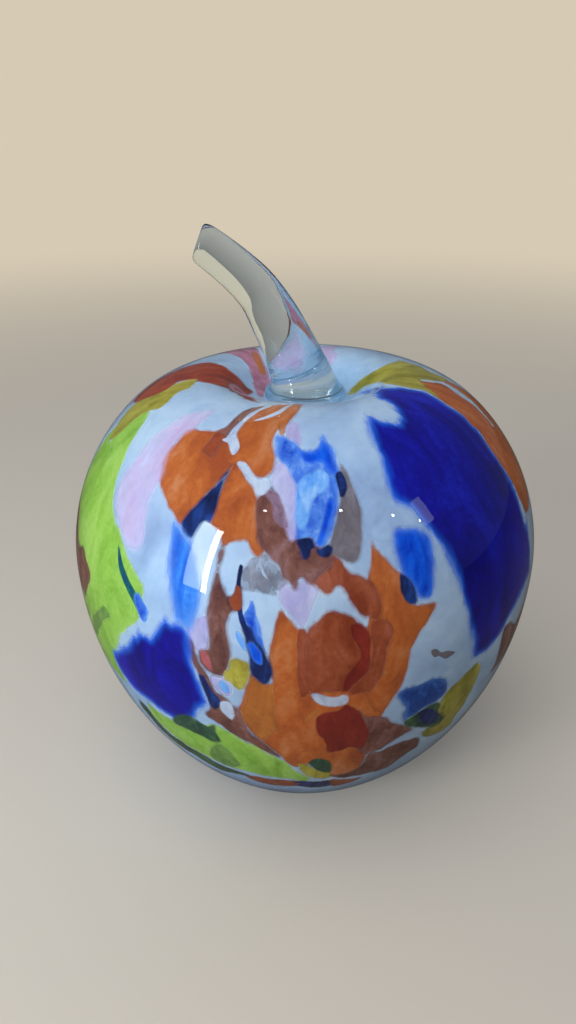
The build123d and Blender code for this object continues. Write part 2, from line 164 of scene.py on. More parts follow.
def spun(profile, steps):
    """A skin spun round the Z axis from a profile of (radius, height) points."""
    clean_slate()
    bpy.ops.mesh.primitive_plane_add(size=mm)
    piece = bpy.context.object
    bpy.ops.object.mode_set(mode="EDIT")
    bpy.ops.mesh.select_all(action="SELECT")
    bpy.ops.mesh.merge(type="CENTER")
    bpy.ops.transform.translate(value=(profile[0][0], 0, profile[0][1]))
    for (r0, z0), (r1, z1) in zip(profile, profile[1:]):
        bpy.ops.mesh.extrude_region_move(TRANSFORM_OT_translate={"value": (r1 - r0, 0, z1 - z0)})
    bpy.ops.mesh.select_all(action="SELECT")
    bpy.ops.mesh.spin(steps=steps, angle=math.tau, center=(0, 0, 0), axis=(0, 0, 1))
    bpy.ops.mesh.select_all(action="SELECT")
    bpy.ops.mesh.remove_doubles(threshold=mm / 100)
    bpy.ops.mesh.normals_make_consistent(inside=False)
    bpy.ops.object.mode_set(mode="OBJECT")
    bpy.ops.object.shade_smooth_by_angle(angle=math.radians(35))
    return piece


# %% [markdown]
# ## Shader maths in Python
# A wire is a socket that Python's own arithmetic works on. Adding two wires adds a Math node. All other
# nodes come from one method of the workshop, which also sets their inputs.

# %% Wires
class Wire:
    """An output socket that can be added, subtracted and multiplied."""

    def __init__(self, shop, socket):
        self.shop = shop
        self.socket = socket

    def maths(self, operation, *values):
        return self.shop.node("ShaderNodeMath", {"operation": operation}, dict(enumerate(values)))

    def __add__(self, other):
        return self.maths("ADD", self, other)

    def __sub__(self, other):
        return self.maths("SUBTRACT", self, other)

    def __rsub__(self, other):
        return self.maths("SUBTRACT", other, self)

    def __mul__(self, other):
        return self.maths("MULTIPLY", self, other)

    __radd__ = __add__
    __rmul__ = __mul__


class Workshop:
    """The node tree of a material or of the world."""

    def __init__(self, owner):
        self.owner = owner
        owner.use_nodes = True
        self.tree = owner.node_tree
        self.tree.nodes.clear()

    def node(self, kind, settings=None, inputs=None, output=0):
        """Add a node, first its settings, then its inputs, and give back one output."""
        made = self.tree.nodes.new(kind)
        for key, value in (settings or {}).items():
            if key == "stops":
                ramp = made.color_ramp
                while len(ramp.elements) < len(value):
                    ramp.elements.new(0.5)
                for element, (place, colour) in zip(ramp.elements, value):
                    element.position = place
                    element.color = colour
            else:
                setattr(made, key, value)
        for key, value in (inputs or {}).items():
            if isinstance(value, Wire):
                self.tree.links.new(value.socket, made.inputs[key])
            else:
                made.inputs[key].default_value = value
        return Wire(self, made.outputs[output])

    def noise(self, place, scale, detail=3.0, roughness=0.55, distortion=0.0):
        """Soft random clouds."""
        return self.node("ShaderNodeTexNoise", {}, {"Vector": place, "Scale": scale, "Detail": detail,
                                                    "Roughness": roughness, "Distortion": distortion})

    def rise(self, value, low, high, floor=0.0, top=1.0):
        """A smooth rise from floor to top between low and high."""
        return self.node("ShaderNodeMapRange", {"interpolation_type": "SMOOTHSTEP"},
                         {"Value": value, "From Min": low, "From Max": high, "To Min": floor, "To Max": top})

    def blend(self, share, first, second):
        """A colour between two colours."""
        return self.node("ShaderNodeMix", {"data_type": "RGBA"}, {0: share, 6: first, 7: second}, 2)

    def mix(self, share, first, second):
        """A shader between two shaders."""
        return self.node("ShaderNodeMixShader", {}, {0: share, 1: first, 2: second})

    def ray(self, kind):
        """One for rays of this kind, else nought."""
        return self.node("ShaderNodeLightPath", {}, {}, f"Is {kind} Ray")

    def surface(self, colour, roughness, more=None):
        """A surface of this colour and roughness, and what more it is given."""
        inputs = {"Base Color": colour, "Roughness": roughness, **(more or {})}
        return self.node("ShaderNodeBsdfPrincipled", {}, inputs)

    def finish(self, shader, output="ShaderNodeOutputMaterial"):
        """Join the last shader to the output and give back the material or the world."""
        out = self.tree.nodes.new(output)
        self.tree.links.new(shader.socket, out.inputs["Surface"])
        return self.owner


def srgb(red, green, blue):
    """A colour as a screen writes it, 0 to 255, as the linear colour that a shader wants."""
    linear = [c / 255 / 12.92 if c <= 10 else ((c / 255 + 0.055) / 1.055) ** 2.4 for c in (red, green, blue)]
    return (*linear, 1.0)


# %% [markdown]
# ## Clear glass
# The casing, the stem and its seal are the same clear glass, with a trace of blue-green from iron. Glass
# shows by what it bends and what it mirrors, so its roughness is nearly nothing. Light that goes to the
# colours below must get through it, so the shader is see-through for shadow rays.

# %% Clear glass
glass_index = 1.5
no_gloss = {"Specular IOR Level": 0.0}


def clear_glass(name, tint, roughness):
    """Refracting glass that lets the lamps' light through to what it covers."""
    shop = Workshop(bpy.data.materials.new(name))
    glass = shop.surface(tint, roughness, {"IOR": glass_index, "Transmission Weight": 1.0})
    through = shop.node("ShaderNodeBsdfTransparent", {}, {"Color": tint})
    return shop.finish(shop.mix(shop.ray("Shadow"), glass, through))


casing_glass = clear_glass("casing_glass", srgb(250, 252, 252), 0.0)
stem_glass = clear_glass("stem_glass", srgb(232, 244, 247), 0.02)

# %% [markdown]
# ## Opal white glass
# The ground between the shards is opal glass, milky and a little blue. It isn't even: thin places let the
# dark inside through and show as a deeper blue. Two sizes of noise mix those tones.

# %% Opal glass
def opal_glass(name):
    """Milky glass with clouds of four pale blues."""
    shop = Workshop(bpy.data.materials.new(name))
    place = shop.node("ShaderNodeTexCoord", {}, {}, "Object")
    cloud = shop.noise(place, 34.0, 4.0, 0.55, 0.6)
    wisp = shop.noise(place, 110.0, 3.0, 0.6, 1.2)
    tone = cloud * 0.75 + wisp * 0.25
    stops = [(0.34, srgb(138, 164, 205)), (0.47, srgb(156, 186, 222)), (0.60, srgb(174, 202, 232)),
             (0.75, srgb(150, 182, 222))]
    milk = shop.node("ShaderNodeValToRGB", {"stops": stops}, {"Fac": tone})
    return shop.finish(shop.surface(milk, 0.5, no_gloss))


white_opal = opal_glass("white_opal")

# %% [markdown]
# ## Coloured shard glass
# A shard softens as it is rolled in. Its colour clouds and streaks, and its edge frays and thins until the
# white shows through. So the colour comes from clouds drawn out along the wall, and the alpha falls off
# near the outline, by a ragged amount. Each shard's mesh carries two attributes for that: flow, the way over
# the surface in millimetres, and edge, the distance to the outline. Shadow rays and scattered rays go through
# a shard, because the opal under its thin edge would else be shaded twice and look inked.

# %% Shard glass
tone_places = (0.36, 0.52, 0.68)
mean_ragged = 0.42


def shard_glass(name, tones, soft=1.8, fray=0.7, cloud=9.0, streak=2.2, cover=1.0, haze=0.0, rim=None,
                rim_share=0.35):
    """Coloured glass with clouds of three tones and a frayed edge, and how far the edge reaches out."""
    shop = Workshop(bpy.data.materials.new(name))
    flow = shop.node("ShaderNodeAttribute", {"attribute_name": "flow"}, {}, "Vector")
    edge = shop.node("ShaderNodeAttribute", {"attribute_name": "edge"}, {}, "Fac")
    drawn = shop.node("ShaderNodeVectorMath", {"operation": "MULTIPLY"},
                      {0: flow, 1: (1 / cloud, 1 / (cloud * streak), 1 / cloud)})
    big = shop.noise(drawn, 1.0, 5.0, 0.6, 0.8)
    small = shop.noise(flow, 0.55, 3.0, 0.6, 0.5)
    ragged = shop.noise(drawn, cloud / 4.5, 2.5, 0.5, 0.4)
    stops = [(place, srgb(*tone)) for place, tone in zip(tone_places, tones)]
    colour = shop.node("ShaderNodeValToRGB", {"stops": stops}, {"Fac": big * 0.8 + small * 0.2})
    reach = edge - (ragged - mean_ragged) * (fray * 4)
    if rim:
        colour = shop.blend(shop.rise(reach, soft * 0.4, soft * 1.6, rim_share, 0.0), colour, srgb(*rim))
    dense = shop.rise(reach, 0.0, soft, 0.0, cover)
    if haze:
        veil = shop.rise(shop.noise(drawn, 1.7, 3.0, 0.5, 0.3), 0.38, 0.62, 1.0 - haze, 1.0)
        dense = dense * veil
    for kind in ("Shadow", "Diffuse"):
        dense = dense * (1 - shop.ray(kind))
    glass = shop.finish(shop.surface(colour, 0.5, {"Alpha": dense, **no_gloss}))
    return glass, (soft / 2 + fray * 0.32 + 0.15) * mm


# %% [markdown]
# ## The casing
# The outermost gather is one closed skin of clear glass. The colours lie inside it with no air between, as
# in the real one, so it needs no inner wall. Its foot is ground flat round a small polished hollow.

# %% The casing
def wall_profile(inset, points):
    """So many points up the wall's curve, drawn in by inset."""
    radius, height = wall_points(np.linspace(0, 1, points), inset)
    return list(zip(radius.tolist(), height.tolist()))


hollow_radius = 0.013
hollow_depth = 0.0012
casing_rings, casing_sides = 150, 256
foot = [(0.0, hollow_depth), (0.004, hollow_depth * 0.9), (0.008, hollow_depth * 0.6), (hollow_radius, 0.0),
        (0.020, 0.0), (0.028, 0.0)]
seat = [(0.010, body_height - dimple_depth), (0.0, body_height - dimple_depth)]
casing = spun(foot + wall_profile(0.0, casing_rings) + seat, casing_sides)
finish_piece(casing, "casing_skin", casing_glass, "clear_casing_glass", "clear_casing")

# %% [markdown]
# ## The white bubble
# The bubble is hollow. It is spun from the seal's plug at the top, down the outside and back up inside.

# %% The white bubble
colour_depth = 4.6 * mm
bubble_inside = 8.0 * mm
plug_radius = 0.006
opening_radius = plug_radius + 0.1 * mm
plug_foot = body_height - dimple_depth - 8.2 * mm
plug_bed = 1.2 * mm
bubble_rings, bubble_sides = 130, 224
cavity_rings, cavity_sides = 70, 96
outside = wall_profile(colour_depth, bubble_rings)
inside = wall_profile(bubble_inside, cavity_rings)
bubble_profile = (
    [(0.0, plug_foot), (opening_radius, plug_foot), (opening_radius, outside[-1][1])]
    + outside[::-1]
    + [(0.0, colour_depth)]
)
bubble = spun(bubble_profile, bubble_sides)
cavity_profile = [(0.0, plug_foot - plug_bed)] + inside[::-1][1:] + [(0.0, bubble_inside)]
cavity = spun(cavity_profile, cavity_sides)
on_all(cavity, bpy.ops.mesh.flip_normals)
take(bubble)
cavity.select_set(True)
bpy.ops.object.join()
finish_piece(bubble, "opal_bubble", white_opal, "white_opal_glass", "white_bubble")

# %% [markdown]
# ## The seal
# A button of hot glass closes the opening. It sinks a hair into the casing, so that no film of air is left
# between the two, which would mirror.

# %% The seal
seat_height = body_height - dimple_depth
seal_top = seat_height + 0.003
lip = 1.3 * mm
sunk = 0.25 * mm
plug_side = plug_radius - 0.05 * mm
plug_end = plug_foot + 0.3 * mm
seal_sides = 128
corner = [(seat_radius - lip + lip * math.sin(a), seal_top - lip + lip * math.cos(a))
          for a in np.linspace(0, math.pi / 2, 10)]
seal_profile = (
    [(0.0, seal_top), (0.009, seal_top)]
    + corner
    + [(seat_radius, seat_height - sunk), (plug_side, seat_height - sunk), (plug_side, plug_end),
       (0.0, plug_end)]
)
seal = spun(seal_profile, seal_sides)
finish_piece(seal, "seal_button", stem_glass, "clear_stem_glass", "neck_seal")

# %% [markdown]
# ## The stem
# The stem was pulled out of a hot bit and bent over. A straight rod is extruded ring by ring, and its rings
# are then laid along three bends that follow each other. Near the foot the tool left fine chill lines.

# %% The stem
stem_start_lean = math.radians(19)
stem_bends = [(0.172, math.radians(11)), (0.040, math.radians(17)), (0.110, math.radians(10.6))]
stem_foot_radius = 0.013
stem_sides = 96
stem_tip_radius = 0.0068
taper_shares = [(0.0, 1.0), (0.05, 0.92), (0.13, 0.82), (0.27, 0.74), (0.42, 0.69), (0.56, 0.62),
                (0.72, 0.575), (0.86, 0.545), (1.0, 0.523)]
chill_shares = (0.05, 0.08, 0.112, 0.145)
chill_height, chill_spread = 0.0025, 0.005
foot_flare, foot_spread = 0.05, 0.018
upright_until = 0.10
slant_from = 0.86
tip_slant = math.radians(11)
tip_round, tip_width = 0.45, 0.80
stem_length = sum(radius * turn for radius, turn in stem_bends)


def along_stem(share):
    """Place and lean of the stem's middle line at a share of its length."""
    x, z, lean, left = 0.0, seal_top, stem_start_lean, share * stem_length
    for radius, turn in stem_bends:
        step = min(left / radius, turn)
        x += radius * (math.cos(lean + step) - math.cos(lean))
        z += radius * (math.sin(lean + step) - math.sin(lean))
        lean += step
        left -= step * radius
        if left <= 1e-9:
            break
    return x, z, lean


ring_runs = ((0, 0.2, 70), (0.2, 0.93, 60), (0.93, 1.0, 16))
rings = sorted({share for low, high, count in ring_runs for share in np.linspace(low, high, count).tolist()})
clean_slate()
bpy.ops.mesh.primitive_circle_add(vertices=stem_sides, radius=stem_foot_radius, fill_type="NGON")
stem = bpy.context.object
bpy.ops.object.mode_set(mode="EDIT")
bpy.ops.mesh.select_all(action="SELECT")
for low, high in zip(rings, rings[1:]):
    bpy.ops.mesh.extrude_region_move(TRANSFORM_OT_translate={"value": (0, 0, high - low)})
bpy.ops.mesh.inset(thickness=stem_foot_radius * 0.5)
bpy.ops.mesh.select_all(action="SELECT")
bpy.ops.mesh.normals_make_consistent(inside=False)
bpy.ops.object.mode_set(mode="OBJECT")

widths, places = [w for _, w in taper_shares], [s for s, _ in taper_shares]
for vertex in stem.data.vertices:
    share = min(max(vertex.co.z, 0.0), 1.0)
    x, z, lean = along_stem(share)
    flat = min(share / upright_until, 1.0)
    face = lean * flat + tip_slant * min(max((share - slant_from) / (1 - slant_from), 0), 1)
    width = float(np.interp(share, places, widths))
    width += chill_height * sum(math.exp(-(((share - line) / chill_spread) ** 2)) for line in chill_shares)
    width += foot_flare * math.exp(-((share / foot_spread) ** 2))
    tip = (1.0 - share) * stem_length / stem_tip_radius
    if tip < tip_round:
        width *= tip_width + (1 - tip_width) * math.sqrt(1 - (1 - tip / tip_round) ** 2)
    across, over = vertex.co.x * width, vertex.co.y * width
    drop = sunk * 2 if share == 0 else 0.0
    vertex.co = (x + across * math.cos(face), over, z + across * math.sin(face) - drop)
take(stem)
bpy.ops.object.shade_smooth_by_angle(angle=math.radians(50))
finish_piece(stem, "pulled_stem", stem_glass, "clear_stem_glass", "stem")

# %% [markdown]
# ## Outlines of the shards
# Shards on the far side have their outlines as azimuth in degrees from the front and share up the wall. The
# others were read off the photograph, as x and y of its 576 by 1024 frame in turn. A shard that runs
# on round the side has both. A later one lies over those before it.

# %% Outlines
far_outline_shares = {
    "shard_lilac_back": ((95, 0.5), (105, 0.53), (111, 0.44), (104, 0.34), (92, 0.33), (86, 0.42)),
    "shard_blue_back_left": ((248, 0.62), (260, 0.65), (268, 0.58), (266, 0.47), (254, 0.42), (245, 0.5)),
    "shard_pink_back": (
        (155, 0.88), (165, 0.868), (185, 0.875), (200, 0.885), (198, 0.92), (186, 0.95), (170, 0.945),
        (158, 0.915)),
    "shard_red_back": (
        (165, 0.8), (185, 0.84), (205, 0.84), (201, 0.76), (190, 0.7), (174, 0.7), (163, 0.75)),
    "shard_cobalt_back": (
        (155, 0.6), (170, 0.66), (190, 0.64), (200, 0.56), (195, 0.47), (178, 0.42), (162, 0.44),
        (155, 0.52)),
    "shard_orange_back": (
        (205, 0.74), (222, 0.79), (236, 0.74), (240, 0.65), (232, 0.56), (218, 0.53), (207, 0.6),
        (203, 0.68)),
    "shard_lime_back": (
        (118, 0.7), (132, 0.76), (146, 0.72), (148, 0.62), (140, 0.5), (126, 0.44), (114, 0.5), (112, 0.6)),
    "shard_yellow_back": ((208, 0.46), (225, 0.5), (238, 0.46), (236, 0.37), (220, 0.32), (206, 0.37)),
}
round_the_side_shares = {
    "shard_lime_left": ((-66, 0.4), (-75, 0.5), (-84, 0.62), (-84, 0.72), (-80, 0.78)),
    "shard_cobalt_right": ((70, 0.73), (70, 0.66), (67, 0.6)),
    "shard_orange_streak_right": ((97, 0.86), (97, 0.8), (93, 0.74), (86, 0.68), (80, 0.63)),
    "shard_olive_streak_right": ((125, 0.905), (122, 0.875), (112, 0.85), (103, 0.84)),
    "shard_brown_far_left": ((-82, 0.53), (-84, 0.57), (-80, 0.61)),
    "shard_brown_far_right": ((60, 0.4), (66, 0.42), (66, 0.47)),
    "shard_red_brown_ridge": ((-100, 0.79), (-108, 0.82), (-115, 0.86), (-118, 0.9)),
}
under_outline_pixels = {
    "wisp_lilac_centre": (
    283,583, 291,588, 297,586, 303,580, 312,584, 318,592, 314,602, 310,612, 306,622, 301,628, 296,622,
    288,612, 281,604, 279,594),
    "wisp_lilac_low_left": (
    191,626, 198,618, 207,618, 209,630, 208,645, 202,651, 196,648, 191,640, 189,632),
    "wisp_lilac_chip": (210,676, 217,676, 222,678, 227,682, 232,690, 230,695, 223,694, 217,690, 213,685),
    "wisp_lilac_top": (286,428, 292,421, 298,424, 300,434, 300,446, 294,441, 288,438),
}
shard_outline_pixels = {
    "shard_orange_field_low": (
    281,611, 286,614, 292,620, 297,627, 301,629, 310,634, 330,640, 350,650, 369,628, 388,660, 394,690,
    385,708, 380,722, 374,745, 366,755, 358,768, 344,775, 330,776, 322,768, 310,764, 298,767, 289,763,
    281,756, 272,749, 263,742, 255,735, 248,728, 242,719, 239,712, 242,704, 245,695, 248,684, 251,675,
    258,680, 265,684, 271,683, 272,672, 270,660, 272,645, 275,632, 277,620),
    "shard_orange_right": (
    371,541, 377,549, 384,557, 391,565, 398,571, 403,577, 405,588, 409,600, 415,604, 424,605, 431,602,
    437,603, 434,611, 428,620, 421,632, 415,642, 410,650, 408,660, 407,670, 403,680, 398,690, 391,701,
    385,709, 381,714, 368,700, 362,680, 366,650, 368,625, 370,610, 366,590, 368,576, 371,560),
    "shard_rust_band": (
    314,556, 326,551, 334,554, 341,560, 346,567, 352,573, 359,577, 366,579, 373,582, 378,592, 380,604,
    379,618, 371,618, 362,614, 355,608, 349,601, 344,593, 340,587, 335,588, 331,592, 326,594, 320,590,
    314,584, 306,580, 304,572, 308,563),
    "shard_orange_mid_left": (
    234,460, 230,469, 226,477, 222,487, 219,496, 216,504, 213,513, 210,521, 216,528, 222,535, 223,545,
    231,543, 240,541, 247,541, 251,547, 255,556, 261,556, 265,540, 264,520, 262,508, 258,500, 255,492,
    252,485, 247,479, 242,472, 238,464),
    "shard_brown_centre": (
    257,498, 264,493, 271,489, 277,493, 282,503, 286,515, 288,526, 293,536, 300,540, 313,539, 320,546,
    331,550, 331,564, 322,574, 312,582, 303,578, 298,582, 295,590, 291,585, 287,581, 282,577, 281,571,
    277,566, 271,561, 265,552, 260,545, 258,530, 257,515, 256,505),
    "shard_orange_upper_left": (
    191,429, 197,430, 206,431, 214,431, 222,430, 227,437, 230,447, 234,454, 234,463, 227,472, 219,481,
    212,490, 204,496, 199,502, 192,511, 186,519, 181,525, 176,518, 171,510, 167,499, 162,489, 160,480,
    161,470, 163,462, 167,453, 171,447, 176,443, 181,436, 186,431),
    "shard_orange_top": (
    303,404, 299,411, 293,419, 285,426, 278,431, 274,436, 272,443, 273,450, 274,457, 273,466, 270,473,
    265,477, 258,478, 253,472, 249,466, 244,462, 238,463, 231,464, 231,456, 238,451, 239,445, 237,438,
    236,433, 241,427, 248,419, 256,412, 263,408, 272,406, 285,405),
    "shard_navy_wedge_left": (
    232,464, 229,472, 225,481, 222,489, 219,497, 217,505, 214,513, 211,521, 205,521, 200,525, 195,532,
    190,538, 186,536, 182,529, 181,523, 185,517, 190,510, 196,505, 200,500, 206,495, 213,488, 219,479,
    226,471),
    "shard_brown_streak_top": (
    220,431, 227,426, 234,419, 241,413, 249,409, 257,407, 264,407, 255,411, 247,416, 240,422, 234,428,
    229,434, 224,439, 219,445, 215,452, 212,457, 207,453, 203,450, 207,445, 213,438),
    "shard_blue_mottled_top": (
    276,437, 284,436, 292,440, 297,443, 300,449, 307,451, 315,450, 319,444, 320,438, 323,435, 328,440,
    332,448, 336,458, 338,469, 339,480, 339,494, 338,506, 336,517, 333,526, 329,536, 325,545, 321,548,
    316,545, 313,539, 303,538, 295,539, 292,530, 293,516, 294,500, 293,486, 289,474, 283,464, 278,456,
    276,447),
    "shard_lilac_strip": (
    278,462, 274,471, 272,479, 273,486, 277,493, 281,501, 284,511, 286,524, 288,534, 292,541, 295,537,
    296,527, 296,515, 297,502, 296,491, 294,482, 290,474, 285,466),
    "shard_taupe_right": (
    340,464, 345,470, 349,477, 352,485, 356,494, 359,501, 361,512, 361,528, 361,542, 360,551, 357,560,
    352,564, 346,561, 338,556, 331,551, 330,544, 333,535, 336,524, 338,512, 340,500, 341,490, 342,480,
    340,472),
    "shard_grey_smoke": (
    258,556, 251,560, 246,567, 240,571, 238,578, 239,587, 247,590, 257,591, 267,593, 276,594, 272,586,
    267,580, 262,573, 260,564),
    "shard_purple_brown_left": (
    224,543, 219,556, 215,570, 212,583, 210,597, 208,611, 208,626, 208,640, 207,648, 203,649, 199,653,
    201,662, 207,670, 213,675, 222,675, 227,671, 229,663, 230,650, 229,636, 228,626, 230,616, 235,612,
    241,608, 241,597, 239,588, 236,592, 231,596, 227,593, 225,587, 222,579, 220,571, 221,562, 225,550),
    "shard_yellow_chip": (
    231,660, 239,659, 248,662, 250,669, 249,676, 246,683, 239,689, 232,684, 226,679, 225,674, 229,668),
    "shard_blue_flame": (
    252,600, 255,608, 257,617, 260,627, 262,638, 264,648, 266,654, 260,652, 254,642, 249,632, 245,624,
    245,615, 249,607),
    "shard_navy_teardrop": (
    243,628, 246,638, 247,648, 249,657, 250,665, 251,672, 255,678, 261,683, 267,684, 272,679, 272,670,
    269,661, 265,653, 261,646, 256,639, 252,632, 248,627),
    "shard_rust_square": (
    306,633, 313,625, 320,618, 327,613, 335,611, 343,613, 351,617, 359,623, 366,629, 369,637, 370,650,
    369,662, 366,672, 357,675, 350,682, 346,691, 330,691, 315,692, 306,690, 304,675, 305,655, 305,643),
    "shard_deep_red_mid": (
    352,626, 360,624, 367,630, 370,640, 370,655, 369,668, 362,677, 354,685, 347,691, 343,687, 347,676,
    355,667, 361,657, 358,646, 352,637),
    "shard_red_brown_low_right": (
    356,712, 366,716, 378,717, 386,717, 391,722, 401,725, 409,727, 414,729, 406,733, 396,739, 385,746,
    376,751, 366,753, 358,750, 356,735),
    "shard_deep_red_low": (
    317,718, 326,713, 339,711, 345,705, 352,707, 358,712, 364,720, 368,730, 366,742, 361,748, 351,747,
    341,750, 329,751, 327,744, 323,738, 319,734, 317,727),
    "shard_blue_band_left": (
    173,523, 180,527, 187,537, 192,545, 196,560, 199,575, 201,590, 199,604, 195,616, 190,628, 182,624,
    176,620, 174,608, 171,594, 169,576, 170,558, 171,542),
    "shard_lime_left": (
    111,438, 118,432, 125,427, 133,420, 141,414, 150,409, 146,418, 140,429, 134,439, 128,450, 123,461,
    119,471, 116,482, 114,494, 113,506, 114,517, 118,528, 122,538, 125,551, 129,560, 134,569, 139,579,
    143,588, 142,600, 140,612, 137,621, 131,625, 126,629, 121,634, 118,643, 116,652, 118,665, 125,681),
    "shard_teal_sliver_left": (
    119,545, 121,555, 123,565, 127,575, 131,584, 136,592, 139,599, 140,607, 141,616, 136,607, 131,597,
    126,587, 122,577, 119,567, 118,556),
    "shard_pink_veil_left": (
    213,412, 200,411, 189,414, 178,419, 168,426, 158,433, 150,441, 142,451, 135,461, 128,471, 123,481,
    119,492, 117,504, 119,516, 122,529, 126,542, 134,549, 141,541, 145,523, 147,504, 152,492, 158,483,
    161,476, 163,466, 166,456, 172,448, 179,440, 186,433, 194,429, 202,422),
    "shard_dark_strand_low_left": (
    189,640, 190,652, 192,661, 196,669, 201,678, 205,688, 208,698, 211,707, 207,714, 216,721, 227,729,
    239,737, 250,743, 262,749, 276,756, 281,756, 272,749, 264,742, 253,734, 245,724, 240,713, 236,707,
    229,701, 223,696, 216,691, 212,684, 209,676, 204,670, 199,661, 196,652, 193,644),
    "shard_cobalt_low_left": (
    114,652, 120,649, 127,645, 133,639, 139,631, 143,634, 149,637, 155,632, 160,625, 165,617, 169,622,
    174,624, 180,626, 186,631, 188,642, 190,654, 192,665, 197,676, 202,686, 206,696, 207,703, 201,706,
    197,711, 195,717, 190,722, 180,720, 170,716, 161,710, 152,702, 143,695, 135,688, 127,679, 121,670,
    117,662),
    "shard_lime_low_left": (
    148,702, 153,707, 161,713, 170,719, 180,725, 190,727, 203,726, 214,724, 223,729, 231,733, 238,737,
    247,742, 257,747, 266,752, 276,757, 284,762, 292,768, 300,773, 309,779, 298,780, 288,778, 277,777,
    265,775, 253,772, 240,769, 228,765, 216,760, 208,756, 198,751, 188,745, 178,738, 168,730, 160,722,
    153,714),
    "shard_dark_green_low_left": (
    174,718, 182,714, 192,716, 200,722, 208,726, 214,724, 216,732, 221,741, 213,741, 203,736, 194,732,
    184,727, 175,722),
    "shard_yellow_low": (298,765, 304,763, 312,767, 320,770, 329,772, 329,777, 317,778, 307,775),
    "shard_brown_far_left": (79,542, 84,547, 86,560, 90,574, 88,585, 84,592),
    "shard_brown_far_right": (515,623, 511,622, 506,625, 503,632, 501,641, 499,650, 496,661, 491,672),
    "shard_cobalt_right": (
    529,570, 526,580, 521,592, 515,605, 509,616, 504,625, 499,635, 492,644, 486,651, 479,655, 474,657,
    473,649, 474,641, 472,632, 470,621, 467,609, 463,594, 459,580, 454,568, 449,558, 444,548, 439,541,
    434,535, 427,527, 421,520, 413,511, 404,505, 396,501, 390,491, 386,478, 382,465, 377,453, 371,439,
    367,425, 364,412, 369,415, 375,417, 382,421, 390,423, 396,423, 398,419, 396,413, 391,407, 384,402,
    375,397, 367,394, 361,393, 366,390, 376,388, 388,387, 400,387, 413,389, 425,391, 436,397, 446,404,
    456,410, 465,417, 472,425, 480,432, 487,443, 494,454, 501,465, 509,476, 515,487, 521,500, 526,515),
    "shard_blue_chip_right": (
    392,536, 396,530, 405,528, 414,528, 423,532, 429,538, 432,548, 433,560, 433,573, 433,586, 431,595,
    425,599, 418,598, 414,590, 409,581, 403,575, 399,566, 397,556, 394,547),
    "shard_blue_low_right": (
    397,696, 401,691, 409,688, 418,685, 424,683, 432,679, 440,677, 446,680, 446,688, 442,696, 434,702,
    425,707, 417,713, 410,717, 404,720, 402,714, 404,708, 401,702),
    "shard_olive_right": (
    478,662, 480,668, 476,678, 471,690, 466,699, 461,708, 454,717, 448,726, 437,733, 425,736, 421,733,
    428,728, 437,724, 441,717, 437,711, 440,703, 445,695, 452,687, 460,679, 469,670),
    "shard_dark_green_low_right": (
    405,721, 412,716, 420,711, 427,706, 436,703, 440,705, 438,711, 444,716, 441,721, 434,726, 423,727,
    412,727, 406,724),
    "shard_orange_streak_right": (
    527,512, 521,500, 515,487, 509,476, 501,465, 494,454, 487,443, 480,432, 472,425, 465,417, 456,410,
    446,404, 436,397, 428,391, 421,385, 419,381, 429,382, 441,384, 453,391, 463,398, 474,406, 484,416,
    492,424),
    "shard_olive_streak_right": (
    446,379, 438,381, 429,380, 420,380, 424,386, 431,391, 439,397, 432,394, 424,390, 412,388, 400,386,
    388,384, 376,383, 366,386, 359,391, 352,395, 348,394, 351,389, 357,383, 364,377, 373,372, 381,368,
    390,364, 399,361, 405,359),
    "shard_red_brown_ridge": (
    203,361, 213,363, 223,366, 232,372, 240,379, 246,386, 252,393, 256,401, 248,400, 239,395, 230,390,
    220,386, 208,383, 198,381, 188,380, 178,382, 169,389, 160,393, 150,398, 141,401, 134,401),
    "shard_olive_band_left": (
    197,380, 188,380, 178,383, 168,389, 160,393, 150,397, 140,401, 134,405, 126,413, 117,426, 110,438,
    113,439, 121,432, 131,423, 141,415, 150,410, 160,408, 168,402, 174,396, 182,391, 190,388),
    "shard_pink_streak_back": (
    215,353, 230,350, 243,348, 252,348, 258,352, 263,362, 268,374, 271,385, 272,393, 268,398, 262,398,
    256,391, 253,381, 250,370, 245,361, 238,356, 226,353),
}
